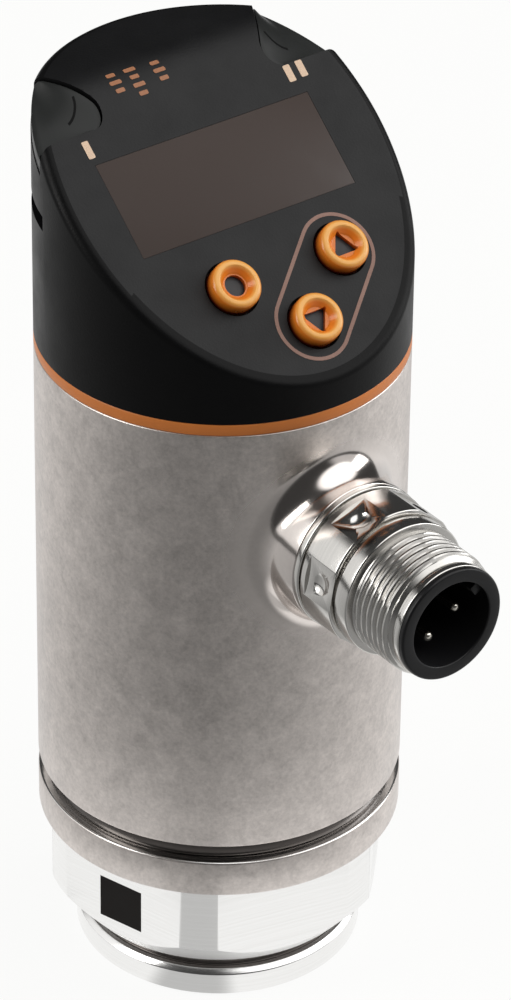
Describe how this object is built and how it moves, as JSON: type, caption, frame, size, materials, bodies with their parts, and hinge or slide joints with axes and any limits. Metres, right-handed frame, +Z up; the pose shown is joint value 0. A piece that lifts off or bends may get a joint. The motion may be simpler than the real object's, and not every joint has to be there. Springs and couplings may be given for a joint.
{
  "type": "pressure transmitter",
  "caption": "Compact pressure transmitter: turning steel housing on a hexagon process connection, sloped display head with orange keys, round plug connector.",
  "frame": {"origin": "centre of the process port at the foot's bottom face", "axes": "+Z up along the body; the display face and the plug connector face -Y; +X to the right seen from the front"},
  "size_m": [0.034, 0.0508, 0.0894],
  "materials": {
    "polished_steel": "polished stainless steel with fine turning lines",
    "housing_steel": "satin, fine blasted stainless steel",
    "spring_steel": "bright spring steel",
    "seal_rubber": "smooth black elastomer",
    "ceramic": "dense white alumina, opaque",
    "ring_brass": "turned",
    "board_green": "glass-fibre board with solder mask",
    "chip_black": "moulded component bodies",
    "socket_plastic": "moulded connector body",
    "orange_ring": "smooth elastomer-like plastic",
    "cap_black": "fine satin moulded surface",
    "display_window": "tinted and clear, flush",
    "lens_smoke": "smoke-tinted clear moulding",
    "module_plastic": "segment display block",
    "lamp_epoxy": "clear cast",
    "switch_metal": "small key switches",
    "mat_rubber": "moulded sealing mat",
    "carrier_plastic": "glass-filled moulding",
    "lead_plastic": "jacketed lead with moulded plug",
    "connector_metal": "bright nickel-plated metal",
    "insert_black": "glass-filled moulding",
    "pin_gold": "gold-plated",
    "strip_amber": "flexible film conductor strip",
    "key_orange": "soft-touch moulding",
    "key_core": "moulded"
  },
  "bodies": {
    "base": {"process_connection": "polished_steel", "slide_ring": "polished_steel", "swivel_seal": "seal_rubber", "retaining_ring": "spring_steel", "stop_pin": "spring_steel", "cell_seal": "seal_rubber", "measuring_cell": "ceramic", "cell_clamp_ring": "ring_brass", "cell_board": "board_green", "cell_board_chips": "chip_black", "signal_socket": "socket_plastic"},
    "housing": {"housing": "housing_steel", "seal_ring": "orange_ring", "head_cap": "cap_black", "cap_seal": "seal_rubber", "display_window": "display_window", "led_lens_right": "lens_smoke", "led_lens_left": "lens_smoke", "display_module": "module_plastic", "display_board": "board_green", "status_leds": "lamp_epoxy", "key_switches": "switch_metal", "keypad_seal": "mat_rubber", "main_board": "board_green", "board_chips": "chip_black", "board_connector": "socket_plastic", "board_carrier": "carrier_plastic", "signal_lead": "lead_plastic", "connector_body": "connector_metal", "connector_seal": "seal_rubber", "connector_insert": "insert_black", "contact_pins": "pin_gold", "pin_board": "board_green", "lead_strip": "strip_amber"},
    "set_key": {"set_button": "key_orange", "set_button_core": "key_core", "set_plunger": "switch_metal"},
    "up_key": {"up_button": "key_orange", "up_button_core": "key_core", "up_plunger": "switch_metal"},
    "down_key": {"down_button": "key_orange", "down_button_core": "key_core", "down_plunger": "switch_metal"}
  },
  "joints": [
    {"name": "housing_swivel", "type": "hinge", "parent": "base", "child": "housing", "pos_m": [0, 0, 0], "axis": [0, 0, 1], "range_deg": [-172.5, 172.5]},
    {"name": "set_press", "type": "slide", "parent": "housing", "child": "set_key", "axis": [0, 0.6361, -0.7716], "range_m": [0, 0.00045], "stiffness_N_per_m": 1500, "springref_m": -0.0005},
    {"name": "up_press", "type": "slide", "parent": "housing", "child": "up_key", "axis": [0, 0.6361, -0.7716], "range_m": [0, 0.00045], "stiffness_N_per_m": 1500, "springref_m": -0.0005},
    {"name": "down_press", "type": "slide", "parent": "housing", "child": "down_key", "axis": [0, 0.6361, -0.7716], "range_m": [0, 0.00045], "stiffness_N_per_m": 1500, "springref_m": -0.0005}
  ]
}
